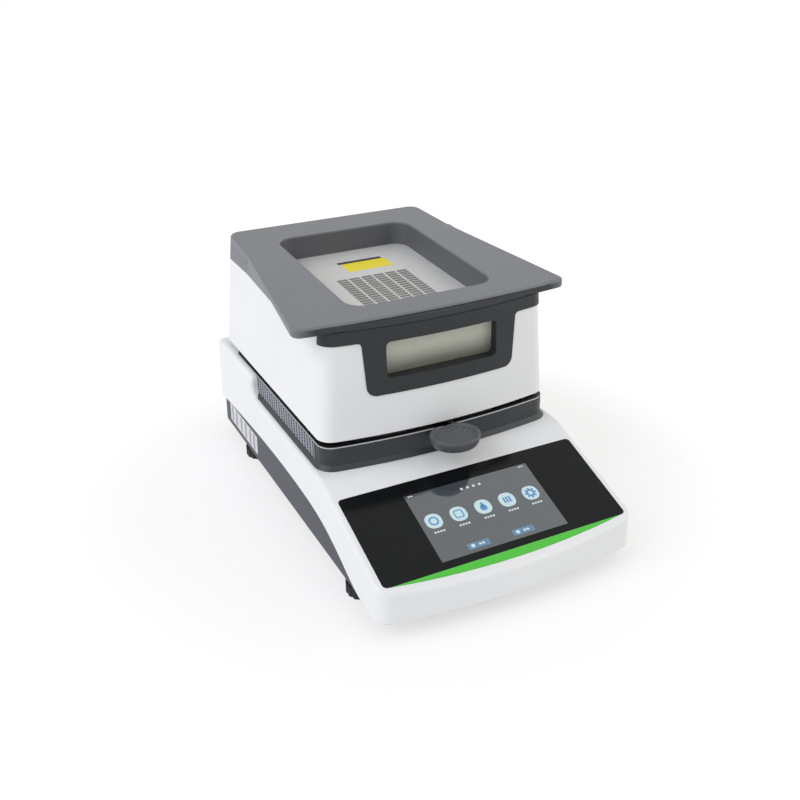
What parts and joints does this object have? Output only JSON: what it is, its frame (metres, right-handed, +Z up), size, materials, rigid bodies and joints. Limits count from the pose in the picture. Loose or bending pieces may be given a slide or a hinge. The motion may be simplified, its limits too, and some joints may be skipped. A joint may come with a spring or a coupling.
{
  "type": "moisture analyzer",
  "caption": "Halogen moisture analyzer: touch display on a sloped front, hinged heater lid with a window, sample pan on a load cell",
  "frame": {"origin": "centre of the bounding box in X and Y, on the plane the feet stand on in Z", "axes": "+X to the right seen from the front, +Y to the back, +Z up"},
  "size_m": [0.2322, 0.375, 0.2049],
  "materials": {
    "white_housing": "satin",
    "dark_tub": "matte",
    "dark_hood": "satin",
    "grey_cover": "satin",
    "black_frame": "satin",
    "black_glass": "polished",
    "green_accent": "gloss",
    "screen": "polished",
    "clear_glass": "polished",
    "sheet_steel": "brushed",
    "polished_steel": "polished",
    "turned_steel": "turned",
    "pan_aluminium": "satin",
    "cell_aluminium": "machined",
    "brass": "turned",
    "circuit_board": "matte",
    "black_plastic": "matte",
    "foot_plastic": "matte",
    "rubber": "matte",
    "ceramic": "matte",
    "quartz_glass": "polished"
  },
  "bodies": {
    "base": {"base_cover": "white_housing", "bottom_chassis": "dark_tub", "display_glass": "black_glass", "accent_strip": "green_accent", "touch_display": "screen", "display_bracket": "sheet_steel", "main_board": "circuit_board", "chamber_ring": "dark_hood", "side_grille_left": "dark_hood", "side_grille_right": "dark_hood", "chamber_floor": "sheet_steel", "draft_ring": "sheet_steel", "pan_support": "turned_steel", "weighing_post": "turned_steel", "load_cell": "cell_aluminium", "load_cell_bracket": "cell_aluminium", "power_board": "circuit_board", "power_inlet": "black_plastic", "switch_frame": "black_plastic", "data_port": "sheet_steel", "spirit_level": "clear_glass", "hinge_bracket_left": "turned_steel", "hinge_bracket_right": "turned_steel", "hinge_pin_left": "turned_steel", "hinge_pin_right": "turned_steel", "lid_bumpers": "rubber", "chassis_screws": "turned_steel", "foot_bushes": "brass"},
    "lid": {"hood_shell": "white_housing", "lid_top_cover": "grey_cover", "front_frame": "black_frame", "window_glass": "clear_glass", "tray_plate": "sheet_steel", "heat_liner": "sheet_steel", "reflector": "polished_steel", "halogen_lamp": "quartz_glass", "lamp_holder": "ceramic", "heater_glass": "quartz_glass", "glass_ring": "sheet_steel", "temperature_sensor": "polished_steel", "hinge_arm_left": "turned_steel", "hinge_arm_right": "turned_steel", "lid_screws": "turned_steel"},
    "handler": {"pan_handler": "sheet_steel", "handler_grip": "grey_cover"},
    "pan": {"sample_pan": "pan_aluminium"},
    "rocker": {"switch_rocker": "black_plastic"},
    "stud_front_left": {"foot_stud_front_left": "turned_steel"},
    "pad_front_left": {"foot_pad_front_left": "foot_plastic"},
    "stud_front_right": {"foot_stud_front_right": "turned_steel"},
    "pad_front_right": {"foot_pad_front_right": "foot_plastic"},
    "stud_rear_left": {"foot_stud_rear_left": "turned_steel"},
    "pad_rear_left": {"foot_pad_rear_left": "foot_plastic"},
    "stud_rear_right": {"foot_stud_rear_right": "turned_steel"},
    "pad_rear_right": {"foot_pad_rear_right": "foot_plastic"}
  },
  "joints": [
    {"name": "lid_hinge", "type": "hinge", "parent": "base", "child": "lid", "pos_m": [0, 0.179, 0.098], "axis": [-1, 0, 0], "range_deg": [0, 80]},
    {"name": "handler_lift", "type": "slide", "parent": "base", "child": "handler", "axis": [0, 0, 1], "range_m": [0, 0.008]},
    {"name": "pan_lift", "type": "slide", "parent": "handler", "child": "pan", "axis": [0, 0, 1], "range_m": [0, 0.025]},
    {"name": "switch_rock", "type": "hinge", "parent": "base", "child": "rocker", "pos_m": [0.03, 0.1833, 0.024], "axis": [1, 0, 0], "range_deg": [0, 16]},
    {"name": "foot_lift_front_left", "type": "slide", "parent": "base", "child": "stud_front_left", "axis": [0, 0, 1], "range_m": [-0.005, 0.0015]},
    {"name": "foot_turn_front_left", "type": "hinge", "parent": "stud_front_left", "child": "pad_front_left", "pos_m": [-0.092, -0.115, 0.004], "axis": [0, 0, 1], "range_deg": [-1440, 432]},
    {"name": "foot_lift_front_right", "type": "slide", "parent": "base", "child": "stud_front_right", "axis": [0, 0, 1], "range_m": [-0.005, 0.0015]},
    {"name": "foot_turn_front_right", "type": "hinge", "parent": "stud_front_right", "child": "pad_front_right", "pos_m": [0.092, -0.115, 0.004], "axis": [0, 0, 1], "range_deg": [-1440, 432]},
    {"name": "foot_lift_rear_left", "type": "slide", "parent": "base", "child": "stud_rear_left", "axis": [0, 0, 1], "range_m": [-0.005, 0.0015]},
    {"name": "foot_turn_rear_left", "type": "hinge", "parent": "stud_rear_left", "child": "pad_rear_left", "pos_m": [-0.092, 0.121, 0.004], "axis": [0, 0, 1], "range_deg": [-1440, 432]},
    {"name": "foot_lift_rear_right", "type": "slide", "parent": "base", "child": "stud_rear_right", "axis": [0, 0, 1], "range_m": [-0.005, 0.0015]},
    {"name": "foot_turn_rear_right", "type": "hinge", "parent": "stud_rear_right", "child": "pad_rear_right", "pos_m": [0.092, 0.121, 0.004], "axis": [0, 0, 1], "range_deg": [-1440, 432]}
  ],
  "couplings": [
    {"joint": "foot_lift_front_left", "follows": "foot_turn_front_left", "m_per_rad": 0.00019894},
    {"joint": "foot_lift_front_right", "follows": "foot_turn_front_right", "m_per_rad": 0.00019894},
    {"joint": "foot_lift_rear_left", "follows": "foot_turn_rear_left", "m_per_rad": 0.00019894},
    {"joint": "foot_lift_rear_right", "follows": "foot_turn_rear_right", "m_per_rad": 0.00019894}
  ]
}
